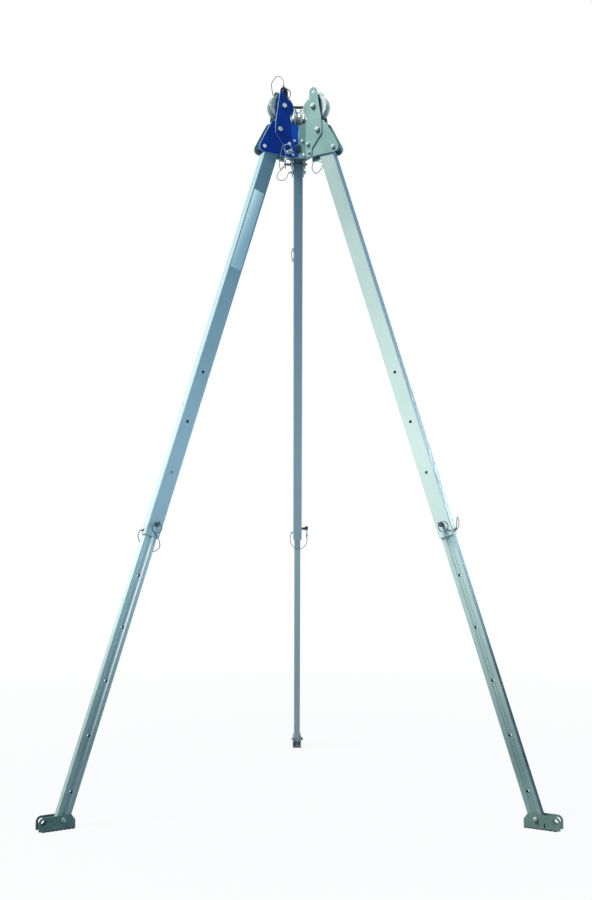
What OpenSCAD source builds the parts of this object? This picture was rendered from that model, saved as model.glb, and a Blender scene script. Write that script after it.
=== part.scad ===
// Rescue tripod: a three-legged lifting frame with telescopic legs,
// a plate head with three rope pulleys, and quick-release pins on wire lanyards.
// Millimetres, +Z up, floor at Z = 0, rear leg along +Y, viewer on the -Y side.

/* [Stance] */
// Lean of each leg from the vertical, degrees
leg_lean = 17.75; // [12:0.25:22]
// Distance of each leg hinge from the head axis
hinge_r = 90; // [84:1:110]
// Leg length from the hinge bolt to the leg lock pin
pin_station = 1441; // [1200:1:1700]
// Leg length from the lock pin to the foot bolt, legs fully drawn out
reach = 903; // [880:1:1000]

/* [Leg tubes] */
// Upper tube, width across its broad faces
tube_w = 52; // [48:0.5:53]
// Upper tube, thickness across its narrow faces
tube_d = 34; // [32:0.5:40]
// Upper tube wall
tube_wall = 3.5; // [2:0.1:4]
// Outer corner radius of the upper tube
tube_corner = 4; // [2:0.5:8]
// Length of the upper tube above its hinge bolt
tube_over = 28; // [20:1:30]
// Length of the upper tube below the lock pin
tube_tail = 38; // [24:1:60]
// Thickness of the plastic sleeve in the mouth of the upper tube
sleeve_wall = 1.25; // [0.8:0.05:2]
// Length of that sleeve
sleeve_len = 100; // [60:1:160]
// Gap between the sleeve and the lower tube, each side
slide_gap = 0.25; // [0.15:0.05:0.5]
// Lower tube wall
lower_wall = 3; // [2:0.1:3.5]
// Width, at its mouth, of the groove along each broad face of the lower tube
groove_w = 18; // [14:0.5:20]
// Width of the flat floor of that groove
groove_floor = 8; // [6:0.5:11]
// Depth of that groove
groove_deep = 3; // [2:0.1:4]
// Length of lower tube that stays inside above the lock pin
lower_inside = 230; // [180:1:400]

/* [Holes] */
// Diameter of the adjusting holes in both tubes
adjust_hole = 10; // [8:0.1:12]
// Pitch of the holes in the lower tube
lower_pitch = 165; // [120:1:180]
// Number of holes below the lock pin
lower_holes = 5; // [2:1:5]
// Pitch of the spare holes in the upper tube
upper_pitch = 174; // [120:1:200]
// Number of spare holes in the upper tube
upper_holes = 3; // [0:1:5]
// Diameter of the vent hole in the outer narrow face
vent_hole = 6; // [4:0.5:8]
// Distance of the vent hole from the hinge bolt
vent_station = 1040; // [300:1:1100]

/* [Head plates] */
// Thickness of the cheek plates beside each leg
cheek_t = 4; // [3:0.5:6]
// Thickness of the bent side plates
plate_t = 4; // [3:0.5:6]
// Gap between a leg and its cheek plate
cheek_gap = 1; // [0.5:0.1:2]
// Height of the head below the hinge bolts
head_drop = 92; // [88:1:110]
// Height of the bent panels above the hinge bolts
panel_rise = 31; // [26:1:36]
// Radius from the head axis to the bend line of the side plates
bend_r = 44; // [43:0.5:47]
// Distance of the pulley axle from the head axis
axle_r = 73; // [70:1:78]
// Height of the pulley axle above the hinge bolt
axle_rise = 88; // [84:1:96]
// Height of the hole at the ear tops above the axle
ear_rise = 53; // [51:1:60]
// Width of the ear at its top
ear_w = 30; // [24:1:34]
// Radius of the plate round the pulley axle
ear_boss = 32; // [28:1:34]
// Height of the two back panels below the hinge bolts
back_drop = 73; // [68:1:84]
// Fall of the panels' top edge towards the seam
panel_dip = 9; // [0:1:14]
// Slope of the cheek's outer edge from the vertical, degrees
cheek_slope = 27.5; // [26:0.5:29]
// Gap between the two plates that meet in one panel
seam = 0.5; // [0.2:0.1:2]
// Depth by which outlines run into each other where they join
join = 0.05; // [0.02:0.01:0.1]

/* [Head fittings] */
// Leg hinge bolt diameter
hinge_bolt_d = 10; // [8:1:12]
// Diameter of the cross bolts and stop bolts
cross_bolt_d = 8; // [6:1:10]
// Outside diameter of the spacer on the stop bolt, which the leg rests against when it is spread
stop_spacer_d = 16; // [14:0.5:20]
// Stop bolt, height below the hinge bolt
stop_drop = 72; // [68:1:76]
// Round corner of the cheek plate about the stop bolt
stop_corner = 18; // [16:1:20]
// Cross bolt, distance from the head axis
cross_r = 53; // [52:0.5:55]
// Cross bolt, height below the hinge bolt
cross_drop = 46; // [40:1:50]
// Outer diameter of the spacer tube on the cross bolt
cross_spacer_d = 16; // [14:0.5:17]
// Head pin diameter
head_pin_d = 9; // [8:0.5:10]
// Head pin, distance from the head axis
head_pin_r = 58; // [57:0.5:58]
// Head pin, height below the hinge bolt
head_pin_drop = 77; // [74:1:79]
// Diameter of the holes at the ear tops
ear_hole_d = 10; // [8:0.5:11]
// Thickness of the anchor plates behind the panels
anchor_t = 8; // [5:0.5:10]
// Width of the anchor plates
anchor_w = 48; // [46:1:50]
// Height of the anchor plates
anchor_h = 70; // [68:1:90]
// Width of the carabiner eye
eye_w = 23; // [20:1:26]
// Height of the carabiner eye
eye_h = 36; // [30:1:38]
// Material left below the carabiner eye
eye_floor = 12; // [8:1:13]
// Diameter of the anchor plate screws
screw_d = 6; // [5:0.5:6]

/* [Pulleys] */
// Pulley outside diameter
pulley_d = 92; // [80:1:96]
// Pulley width
pulley_w = 30; // [22:1:36]
// Depth of the rope groove
rope_groove = 11; // [8:0.5:14]
// Pulley axle diameter
axle_d = 10; // [8:1:12]
// Wall of the pulley's bush
bush_wall = 4; // [2:0.5:6]

/* [Feet] */
// Height of the foot bolt above the floor
foot_pivot = 29.5; // [29.5:0.5:36]
// Foot bolt diameter
foot_bolt_d = 8; // [6:1:10]
// Length of the foot outboard of its bolt
toe_len = 72; // [64:1:90]
// The base of the foot stops short of its toe by
toe_open = 9; // [4:1:14]
// Length of the foot inboard of its bolt
heel_len = 36; // [32:1:44]
// Height of the foot above the floor
foot_h = 42; // [42:1:50]
// Thickness of the foot's plates
foot_t = 4; // [3:0.5:4]
// Gap between the foot plates and the lower tube
foot_gap = 0.8; // [0.4:0.1:1.5]
// Diameter of the stake hole in the toe
toe_hole = 18; // [12:0.5:22]
// Thickness of the rubber sole
sole_t = 3; // [2:0.5:3]

/* [Pins and lanyards] */
// Lanyard wire diameter
wire_d = 2.4; // [1.6:0.1:3]
// Mean radius of the pull rings
ring_r = 16; // [13:0.5:17]
// Pull ring wire diameter
ring_d = 2.6; // [2:0.1:3]
// Depth that a leg pin is still to be pushed in
pin_push = 11; // [9:0.5:14]
// Radial running clearance of bolts and pins
run_gap = 0.05; // [0.02:0.01:0.1]

/* [Hidden] */
$fn = 64;

// Directions of the legs
LEFT = 210;
RIGHT = 330;
REAR = 90;

// Stance
leg_len = pin_station + reach;
hinge_z = foot_pivot + leg_len * cos(leg_lean);
foot_r = hinge_r + leg_len * sin(leg_lean);

// Foot widths
lower_w = tube_w - 2 * tube_wall - 2 * sleeve_wall - 2 * slide_gap;
lower_d = tube_d - 2 * tube_wall - 2 * sleeve_wall - 2 * slide_gap;
foot_in = lower_d / 2 + foot_gap;
foot_out = foot_in + foot_t;
toe_round = foot_h - foot_pivot + 3;
toe_hole_x = toe_len - toe_round;

// The origin is the middle of the footprint's box, so the head axis is set back from it
axis_y = -((foot_r + toe_len) - ((foot_r + toe_len) / 2 + foot_out * cos(30))) / 2;

// Layers of the head, measured from the middle of a leg
cheek_in = tube_d / 2 + cheek_gap;
plate_in = cheek_in + cheek_t;
plate_out = plate_in + plate_t;
// Half the width of a panel, from its bend to the seam
panel_half = bend_r * cos(30) - plate_out * sin(30);
panel_y = bend_r * sin(30) + plate_out * cos(30);
flange_len = panel_half - seam / 2;
eye_low = -head_drop + eye_floor + eye_w / 2;
eye_high = eye_low + eye_h - eye_w;
screw_low = -head_drop + 8;
screw_back = -back_drop + 11;
screw_high = -head_drop + anchor_h - 11;
screw_low_x = eye_w / 2 + 7;
screw_high_x = 13;
screw_head_h = 4;

// Spread stop: far enough out that its spacer just clears the leg's outer face
stop_gap = 0.3;
stop_across = tube_w / 2 + stop_gap + stop_spacer_d / 2;
stop_r = hinge_r + (stop_across + stop_drop * sin(leg_lean)) / cos(leg_lean);

// Sloping outer edge of the cheek, tangent to its two round corners
edge_n = [cos(cheek_slope), sin(cheek_slope)];
cheek_top = panel_rise + 2;
cheek_round = 30;
cheek_cz = cheek_top - cheek_round;
cheek_cr = ((stop_r * edge_n[0] - stop_drop * edge_n[1]) + stop_corner - cheek_round
  - cheek_cz * edge_n[1]) / edge_n[0];
cheek_edge = bend_r + 2;

// Heads and nuts
hex_ratio = 0.9;
head_h = 0.62;
nut_h = 0.8;

// Quick-release pins
collar_h = 4;
collar_r = 8;
tab_t = 5;
tab_front = 5.5;
eye_back = 5;
tab_back = eye_back + 4.5;
tab_h = 9;
head_pin_handle = 24;
leg_pin_handle = 13;
tip_out = 6;
ring_hole = ring_d / 2 + 0.7;
leg_pin_r = adjust_hole / 2 - run_gap;
// At rest the tip of a leg pin stands in the groove, just off its floor
pin_tip = lower_d / 2 - groove_deep + 1;
leg_pin_len = tube_d / 2 + pin_push + 1 - pin_tip;

// Lanyard ends
ferrule_r = 2.4;
ferrule_len = 9;
ring_seat = 0.2;

// Which broad face carries each leg pin: 1 is the face that leads anticlockwise from above
LEFT_PIN = 1;
RIGHT_PIN = -1;
REAR_PIN = -1;

// Pull ring directions: in the plate's plane, as [outboard, up]
head_ring = [0.92, 0.39];
ear_ring = [-0.45, -0.89];
left_ring = [0, -1];
right_ring = [0.6, -0.8];
rear_ring = [0, -1];

// Lanyard routes between their two ferrules. Head ones: [out from the axis, sideways, up from the hinge].
left_head_route = [[98, 48, -98], [104, 48, -130], [98, 46, -152], [86, 44, -138], [74, 42, -112], [56, 40, -106]];
right_head_route = [[76, 48, -94], [64, 48, -114], [50, 46, -126], [38, 45, -120], [31, 43, -104], [37, 41, -86]];
rear_head_route = [[92, 60, -82], [96, 74, -98], [106, 76, -112], [118, 62, -114], [132, 46, -104]];
ear_route = [[79, 30, 176], [84, 20, 192], [91, 8, 198], [97, -6, 190], [97, -22, 174]];
// Leg ones: [outboard, sideways, down from the lock pin].
left_route = [[-18, 38, 46], [-33, 22, 62], [-30, -4, 78], [-6, -24, 76], [18, -25, 60], [33, -15, 44]];
right_route = [[36, -34, 34], [48, -22, 24], [52, -10, 4], [47, -2, -8]];
rear_route = [[-8, -38, 46], [-22, -30, 64], [-32, -8, 74], [-29, 14, 66], [-13, 28, 48]];
// Where the leg lanyards end on their tubes, down from the lock pin
eyelet_down = 26;
rear_eyelet_down = 15;

col_blue = [0.08, 0.25, 0.58];
col_plate = [0.66, 0.78, 0.76];
col_zinc = [0.78, 0.82, 0.82];
col_tube = [0.62, 0.72, 0.74];
col_lower = [0.50, 0.60, 0.64];
col_steel = [0.72, 0.75, 0.77];
col_wire = [0.45, 0.50, 0.50];
col_dark = [0.12, 0.15, 0.17];
col_black = [0.05, 0.05, 0.05];

// Frames of reference

// A leg's upright plane: X outboard from the head axis, Y sideways, Z from the floor
module leg_plane(dir) {
  translate([0, axis_y, 0]) rotate([0, 0, dir]) children();
}

// The same, with Z counted from the hinge bolt
module head_plane(dir) {
  leg_plane(dir) translate([0, 0, hinge_z]) children();
}

// Along a leg: Z up the tube from the hinge bolt, X square to it and outboard
module along_leg(dir) {
  head_plane(dir) translate([hinge_r, 0, 0]) rotate([0, -leg_lean, 0]) children();
}

// A round bar along Y, centred
module bar_y(r, len, fn = 64) {
  rotate([90, 0, 0]) cylinder(r = r, h = len, center = true, $fn = fn);
}

// A round bar along Y from y0 to y1
module bar_span(r, y0, y1, fn = 64) {
  translate([0, y1, 0]) rotate([90, 0, 0]) cylinder(r = r, h = y1 - y0, $fn = fn);
}

module rounded(w, d, r) {
  square([w - 2 * r, d], center = true);
  square([w, d - 2 * r], center = true);
  for (x = [-1, 1], y = [-1, 1]) translate([x * (w / 2 - r), y * (d / 2 - r)]) circle(r);
}

// Turns drawings in (outboard, up) into one plate that lies sideways from y0 to y0 + t
module upright(y0, t) {
  translate([0, y0 + t, 0]) rotate([90, 0, 0]) union()
    for (k = [0 : $children - 1]) linear_extrude(t) children(k);
}

// Fasteners

// Hex bolt along Y with its nut: two solids
module bolt_and_nut(d, y_nut, y_head) {
  bar_span(d / 2, y_nut - nut_h * d - 2, y_head);
  bar_span(hex_ratio * d, y_head, y_head + head_h * d, 6);
  difference() {
    bar_span(hex_ratio * d, y_nut - nut_h * d, y_nut, 6);
    bar_span(d / 2 + run_gap, y_nut - nut_h * d - 1, y_nut + 1);
  }
}

module spacer(r_out, r_in, half) {
  difference() {
    bar_y(r_out, 2 * half);
    bar_y(r_in, 2 * half + 2);
  }
}

// Lanyard wire

function unit(v) = v / norm(v);
// A smooth curve through the route's points, a few steps to each span
function spline(p, i, t) =
  let (a = p[max(i - 1, 0)], b = p[i], c = p[i + 1], d = p[min(i + 2, len(p) - 1)])
  0.5 * ((2 * b) + (c - a) * t + (2 * a - 5 * b + 4 * c - d) * t * t
    + (3 * b - a - 3 * c + d) * t * t * t);
function path(p, n) = concat([for (i = [0 : len(p) - 2], k = [0 : n - 1]) spline(p, i, k / n)], [p[len(p) - 1]]);
function tangent(q, i) = unit(q[min(i + 1, len(q) - 1)] - q[max(i - 1, 0)]);

// One closed tube along the points q; side is a direction that the route never follows
module wire(q, side) {
  n = 8;
  m = len(q);
  points = [for (i = [0 : m - 1])
    let (t = tangent(q, i), u = unit(cross(side, t)), v = cross(t, u))
    for (k = [0 : n - 1]) q[i] + wire_d / 2 * (cos(k * 360 / n) * u + sin(k * 360 / n) * v)];
  faces = concat(
    [[for (k = [0 : n - 1]) k]],
    [for (i = [0 : m - 2], k = [0 : n - 1])
      [i * n + k, (i + 1) * n + k, (i + 1) * n + (k + 1) % n, i * n + (k + 1) % n]],
    [[for (k = [0 : n - 1]) m * n - 1 - k]]);
  polyhedron(points = points, faces = faces);
}

// A crimped sleeve from point a, along direction v
module ferrule(a, v) {
  w = unit(v);
  translate(a) rotate([0, acos(w[2]), atan2(w[1], w[0])]) cylinder(r = ferrule_r, h = ferrule_len, $fn = 48);
}

// Head: plates

module plate_holes(y0, t) {
  for (h = [[hinge_r, 0, hinge_bolt_d / 2], [cross_r, -cross_drop, cross_bolt_d / 2],
      [head_pin_r, -head_pin_drop, head_pin_d / 2], [axle_r, axle_rise, axle_d / 2],
      [axle_r, axle_rise + ear_rise, ear_hole_d / 2]])
    translate([h[0], y0 + t / 2, h[1]]) bar_y(h[2] + run_gap, t + 2);
}

// A side plate on the +Y side of its leg: flat wing, bend and flange. The front panel has the carabiner eye.
module side_plate(front) {
  drop = front ? head_drop : back_drop;
  ear_top = axle_rise + ear_rise;
  difference() {
    upright(plate_in, plate_t) {
      translate([axle_r, ear_top]) circle(ear_w / 2);
      intersection() {
        translate([axle_r - 5, axle_rise - 4]) circle(ear_boss);
        translate([0, axle_rise - 2 * ear_boss]) square([axle_r + 12, 4 * ear_boss]);
      }
      polygon([[axle_r - ear_w / 2 + join, ear_top], [axle_r + ear_w / 2 - join, ear_top],
        [hinge_r + 15, panel_rise], [hinge_r + 17, -14], [head_pin_r + 10, 14 - head_pin_drop], [head_pin_r + 8, -head_drop],
        [bend_r, -head_drop], [bend_r, panel_rise], [axle_r - ear_w / 2 + join, axle_rise]]);
    }
    plate_holes(plate_in, plate_t);
  }
  translate([bend_r, plate_out, 0]) {
    translate([0, 0, -drop]) linear_extrude(drop + panel_rise) polygon(concat([[0, 0], [1, 0], [1, -plate_t]],
      [for (a = [270 : -7.5 : 240]) plate_t * [cos(a), sin(a)]],
      [[cos(150), sin(150)] + plate_t * [cos(240), sin(240)], [cos(150), sin(150)]]));
    rotate([0, 0, 150]) difference() {
      upright(0, plate_t)
        polygon([[0, -drop], [flange_len, -drop], [flange_len, panel_rise - panel_dip], [0, panel_rise]]);
      translate([panel_half, 0, 0]) panel_holes(plate_t, front);
    }
  }
}

// Holes of one panel about its seam, through a thickness t from y = 0
module panel_holes(t, front) {
  if (front) {
    for (z = [eye_low, eye_high]) translate([0, t / 2, z]) bar_y(eye_w / 2, t + 2);
    translate([-eye_w / 2, -1, eye_low]) cube([eye_w, t + 2, eye_high - eye_low]);
  }
  for (s = [-1, 1], h = screw_places(front)) translate([s * h[0], t / 2, h[1]]) bar_y(screw_d / 2 + run_gap, t + 2);
}

function screw_places(front) = [[screw_low_x, front ? screw_low : screw_back], [screw_high_x, screw_high]];

module side_plate_at(dir, side, tint, front = false) {
  color(tint) head_plane(dir) mirror([0, side > 0 ? 0 : 1, 0]) side_plate(front);
}

// The cheek plate beside a leg, with round corners about the stop bolt
module cheek() {
  difference() {
    upright(cheek_in, cheek_t) {
      translate([cheek_cr, cheek_cz]) circle(cheek_round);
      translate([stop_r, -stop_drop]) circle(stop_corner);
      polygon([[cheek_edge, cheek_top - join], [cheek_cr, cheek_top - join],
        [cheek_cr, cheek_cz] + (cheek_round - join) * edge_n, [stop_r, -stop_drop] + (stop_corner - join) * edge_n,
        [stop_r, -stop_drop - stop_corner + join], [cheek_edge, -head_drop + 2]]);
    }
    for (h = [[hinge_r, 0, hinge_bolt_d / 2], [cross_r, -cross_drop, cross_bolt_d / 2],
        [head_pin_r, -head_pin_drop, head_pin_d / 2], [stop_r, -stop_drop, cross_bolt_d / 2]])
      translate([h[0], cheek_in + cheek_t / 2, h[1]]) bar_y(h[2] + run_gap, cheek_t + 2);
  }
}

module cheek_at(dir, side, tint) {
  color(tint) head_plane(dir) mirror([0, side > 0 ? 0 : 1, 0]) cheek();
}

// Plates behind the three panels tie the bent flanges together; the front one carries a carabiner eye
module on_panel(dir) {
  translate([0, axis_y, hinge_z]) rotate([0, 0, dir]) translate([0, -panel_y, 0]) children();
}

module anchor_plates() {
  color(col_zinc) for (dir = [0, 120, 240]) on_panel(dir) translate([0, plate_t, 0]) {
    drop = dir == 0 ? head_drop : back_drop;
    difference() {
      translate([-anchor_w / 2, 0, -drop]) cube([anchor_w, anchor_t, drop - head_drop + anchor_h]);
      panel_holes(anchor_t, dir == 0);
    }
  }
}

module anchor_screws() {
  color(col_steel) for (dir = [0, 120, 240]) on_panel(dir)
    for (s = [-1, 1], h = screw_places(dir == 0)) translate([s * h[0], 0, h[1]]) {
      bar_span(screw_d / 2, -1, plate_t + anchor_t);
      bar_span(0.85 * screw_d, -screw_head_h, 0);
    }
}

module left_front_plate() side_plate_at(LEFT, 1, col_blue, true);
module left_back_plate() side_plate_at(LEFT, -1, col_plate);
module right_front_plate() side_plate_at(RIGHT, -1, col_plate, true);
module right_back_plate() side_plate_at(RIGHT, 1, col_plate);
module rear_left_plate() side_plate_at(REAR, 1, col_plate);
module rear_right_plate() side_plate_at(REAR, -1, col_plate);
module left_front_cheek() cheek_at(LEFT, 1, col_blue);
module left_back_cheek() cheek_at(LEFT, -1, col_plate);
module right_front_cheek() cheek_at(RIGHT, -1, col_plate);
module right_back_cheek() cheek_at(RIGHT, 1, col_plate);
module rear_left_cheek() cheek_at(REAR, 1, col_plate);
module rear_right_cheek() cheek_at(REAR, -1, col_plate);

// Head: bolts and spacers

module hinge_bolts() {
  color(col_steel) for (dir = [LEFT, RIGHT, REAR]) head_plane(dir) translate([hinge_r, 0, 0])
    bolt_and_nut(hinge_bolt_d, -plate_out, plate_out);
}

module stop_bolts() {
  color(col_steel) for (dir = [LEFT, RIGHT, REAR]) head_plane(dir) translate([stop_r, 0, -stop_drop])
    bolt_and_nut(cross_bolt_d, -plate_in, plate_in);
}

module stop_spacers() {
  color(col_zinc) for (dir = [LEFT, RIGHT, REAR]) head_plane(dir) translate([stop_r, 0, -stop_drop])
    spacer(stop_spacer_d / 2, cross_bolt_d / 2 + run_gap, cheek_in);
}

module cross_bolts() {
  color(col_steel) for (dir = [LEFT, RIGHT, REAR]) head_plane(dir) translate([cross_r, 0, -cross_drop])
    bolt_and_nut(cross_bolt_d, -plate_out, plate_out);
}

module cross_spacers() {
  color(col_zinc) for (dir = [LEFT, RIGHT, REAR]) head_plane(dir) translate([cross_r, 0, -cross_drop])
    spacer(cross_spacer_d / 2, cross_bolt_d / 2 + run_gap, cheek_in);
}

module pulley_axles() {
  color(col_steel) for (dir = [LEFT, RIGHT, REAR]) head_plane(dir) translate([axle_r, 0, axle_rise])
    bolt_and_nut(axle_d, -plate_out, plate_out);
}

// Fixed rope guard between the rear ears
module rear_guard_bolt() {
  color(col_dark) head_plane(REAR) translate([axle_r, 0, axle_rise + ear_rise])
    bolt_and_nut(ear_hole_d, -plate_out, plate_out);
}

// Pulleys

module pulley_at(dir) {
  bore = axle_d / 2 + bush_wall + run_gap;
  deep = pulley_d / 2 - rope_groove;
  color(col_zinc) head_plane(dir) translate([axle_r, 0, axle_rise]) rotate([90, 0, 0])
    rotate_extrude($fn = 96) difference() {
      translate([bore, -pulley_w / 2]) square([pulley_d / 2 - bore, pulley_w]);
      // rope groove with flared flanges
      polygon([[deep + 5, -pulley_w / 2 + 8], [pulley_d / 2 + 1, -pulley_w / 2 + 3],
        [pulley_d / 2 + 1, pulley_w / 2 - 3], [deep + 5, pulley_w / 2 - 8]]);
      translate([deep + 5, 0]) circle(r = pulley_w / 2 - 8);
      // shallow recess in each face between hub and rim
      for (s = [-1, 1]) translate([(bore + 6 + deep) / 2, s * pulley_w / 2])
        square([deep - bore - 6, 8], center = true);
    }
}

module bush_at(dir) {
  color(col_steel) head_plane(dir) translate([axle_r, 0, axle_rise])
    spacer(axle_d / 2 + bush_wall, axle_d / 2 + run_gap, plate_in - 0.2);
}

module left_pulley() pulley_at(LEFT);
module right_pulley() pulley_at(RIGHT);
module rear_pulley() pulley_at(REAR);
module left_pulley_bush() bush_at(LEFT);
module right_pulley_bush() bush_at(RIGHT);
module rear_pulley_bush() bush_at(REAR);

// Quick-release pins

// A pin along Y: its collar starts at y = 0 and its shaft runs to y = -len. The ring hangs towards dir, in X and Z.
module quick_pin(r, len, handle, dir) {
  yh = handle - tab_h / 2;
  bar_span(r, -len + r / 2, 0);
  translate([0, -len + r / 2, 0]) rotate([90, 0, 0]) cylinder(r1 = r, r2 = r / 2, h = r / 2);
  bar_span(collar_r, 0, collar_h);
  bar_span(collar_r - 3, collar_h - 1, handle - tab_h + 1);
  // tab with the ring's eye, turned so that the ring hangs towards dir
  rotate([0, -atan2(dir[1], dir[0]), 0]) {
    difference() {
      translate([-tab_back, handle - tab_h, -tab_t / 2]) cube([tab_back + tab_front, tab_h, tab_t]);
      translate([-eye_back, yh, 0]) cylinder(r = ring_hole, h = tab_t + 2, center = true);
    }
    // split ring through the eye
    translate([ring_r - eye_back, yh, 0]) rotate([90, 0, 0])
      rotate_extrude($fn = 48) translate([ring_r, 0]) circle(d = ring_d, $fn = 24);
  }
}

module head_pin_at(dir) {
  color(col_steel) head_plane(dir) translate([head_pin_r, plate_out, -head_pin_drop])
    quick_pin(head_pin_d / 2, 2 * plate_out + tip_out, head_pin_handle, head_ring);
}

module left_head_pin() head_pin_at(LEFT);
module right_head_pin() head_pin_at(RIGHT);
module rear_head_pin() head_pin_at(REAR);

module retaining_pin() {
  color(col_dark) head_plane(LEFT) translate([axle_r, plate_out, axle_rise + ear_rise])
    quick_pin(ear_hole_d / 2, 2 * plate_out + tip_out, leg_pin_handle, ear_ring);
}

module leg_pin_at(dir, side, ring) {
  color(col_steel) along_leg(dir) translate([0, 0, -pin_station])
    mirror([0, side > 0 ? 0 : 1, 0]) translate([0, tube_d / 2 + pin_push + 1, 0])
      quick_pin(leg_pin_r, leg_pin_len, leg_pin_handle, ring);
}

module left_leg_pin() leg_pin_at(LEFT, LEFT_PIN, left_ring);
module right_leg_pin() leg_pin_at(RIGHT, RIGHT_PIN, right_ring);
module rear_leg_pin() leg_pin_at(REAR, REAR_PIN, rear_ring);

// Lanyards

// Start of a ferrule along v at the far side of a pull ring; the ring hangs from c towards dir, in X and Z
function ring_end(c, dir, v) =
  let (u = unit([dir[0], 0, dir[1]]), lift = ring_seat + ferrule_r * norm(cross(u, unit(v))))
  c + (2 * ring_r - eye_back + ring_d / 2 + lift) * u;

// Wire with a ferrule at each end: one at a, pointing along va, one at b, pointing along vb
module lanyard(a, va, route, b, vb, side) {
  ferrule(a, va);
  ferrule(b, vb);
  wire(concat([a + unit(va)], path(concat([a + ferrule_len * unit(va)], route, [b + ferrule_len * unit(vb)]), 2),
    [b + unit(vb)]), side);
}

module head_lanyard_at(dir, route, end, vb) {
  va = [0.6, 0.1, -0.8];
  start = ring_end([head_pin_r, plate_out + head_pin_handle - tab_h / 2, -head_pin_drop], head_ring, va);
  color(col_wire) head_plane(dir) lanyard(start, va, route, end, vb, [0.3, 1, 0.1]);
}

// Just under the head of a panel's lower screw
function under_screw(z) =
  let (along = panel_half - screw_low_x, out = ferrule_r + ring_seat)
  [bend_r - along * cos(30) + out * sin(30), plate_out + along * sin(30) + out * cos(30), z - 0.85 * screw_d - 0.2];

module left_head_lanyard() head_lanyard_at(LEFT, left_head_route, under_screw(screw_low), [0.5, 0.35, -1]);
module right_head_lanyard() head_lanyard_at(RIGHT, right_head_route, under_screw(screw_back), [0, 0.35, -1]);
module rear_head_lanyard() head_lanyard_at(REAR, rear_head_route,
  [stop_r, plate_in + head_h * cross_bolt_d + 0.2, -stop_drop], [-0.2, 1, -0.4]);

module retaining_lanyard() {
  top = axle_rise + ear_rise;
  u = unit([-ear_ring[0], 0, -ear_ring[1]]);
  // from the tab's free side, over the ears, to the back face of the back ear
  start = [axle_r, plate_out + leg_pin_handle - tab_h / 2, top] + (tab_back + ring_seat) * u;
  end = [axle_r + 4, -plate_out - 0.2, top - 14];
  color(col_wire) head_plane(LEFT) lanyard(start, u, ear_route, end, [0.4, -1, 0.4], [0.75, 0.6, -0.1]);
}

// A leg lanyard from its pin's ring to the upper tube
module leg_lanyard_at(dir, side, ring, va, route, end, vb, avoid) {
  start = ring_end([0, side * (tube_d / 2 + pin_push + 1 + leg_pin_handle - tab_h / 2), 0], ring, va);
  color(col_wire) along_leg(dir) translate([0, 0, -pin_station])
    lanyard(start, va, [for (p = route) [p[0], p[1], -p[2]]], end, vb, avoid);
}

module left_leg_lanyard() leg_lanyard_at(LEFT, LEFT_PIN, left_ring, [-0.7, 0, -0.7], left_route,
  [tube_w / 2 + 0.2, 0, -eyelet_down], [1, -0.3, -0.4], [0.1, 0.3, 1]);
module right_leg_lanyard() leg_lanyard_at(RIGHT, RIGHT_PIN, right_ring, [0.8, 0.1, -0.6], right_route,
  [tube_w / 2 + 0.2, 0, -eyelet_down], [1, 0, 0.6], [0.5, -0.85, 0.1]);
module rear_leg_lanyard() leg_lanyard_at(REAR, REAR_PIN, rear_ring, [0, 0, -1], rear_route,
  [0, tube_d / 2 + 0.2, -rear_eyelet_down], [-0.1, 1, -0.5], [1, 0.1, 0.2]);

// Legs

module upper_tube_at(dir) {
  color(col_tube) along_leg(dir) difference() {
    translate([0, 0, -pin_station - tube_tail]) linear_extrude(pin_station + tube_tail + tube_over) difference() {
      rounded(tube_w, tube_d, tube_corner);
      square([tube_w - 2 * tube_wall, tube_d - 2 * tube_wall], center = true);
    }
    bar_y(hinge_bolt_d / 2 + run_gap, tube_d + 2);
    for (k = [0 : upper_holes]) translate([0, 0, -pin_station + k * upper_pitch])
      bar_y(adjust_hole / 2, tube_d + 2);
    translate([tube_w / 2, 0, -vent_station]) rotate([0, 90, 0])
      cylinder(d = vent_hole, h = 2 * tube_wall + 4, center = true);
  }
}

// Plastic sleeve that fills the play between the tubes at the mouth
module sleeve_at(dir) {
  color(col_dark) along_leg(dir) translate([0, 0, -pin_station - tube_tail]) difference() {
    linear_extrude(sleeve_len) difference() {
      square([tube_w - 2 * tube_wall, tube_d - 2 * tube_wall], center = true);
      square([lower_w + 2 * slide_gap, lower_d + 2 * slide_gap], center = true);
    }
    translate([0, 0, tube_tail]) bar_y(adjust_hole / 2 + 0.5, tube_d);
  }
}

// Drawn profile of the lower tube: a groove runs down each broad face
module lower_profile() {
  rib = groove_w / 2 + lower_wall;
  in_w = lower_w / 2 - lower_wall;
  in_d = lower_d / 2 - lower_wall;
  difference() {
    rounded(lower_w, lower_d, 2);
    for (s = [0, 1]) mirror([0, s]) polygon([[-groove_floor / 2, lower_d / 2 - groove_deep],
      [groove_floor / 2, lower_d / 2 - groove_deep], [groove_w / 2, lower_d / 2], [groove_w / 2, lower_d / 2 + 1],
      [-groove_w / 2, lower_d / 2 + 1], [-groove_w / 2, lower_d / 2]]);
    for (s = [-1, 1]) translate([s * (rib + in_w) / 2, 0]) square([in_w - rib, 2 * in_d], center = true);
    square([2 * rib + 0.1, 2 * (in_d - groove_deep)], center = true);
  }
}

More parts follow.
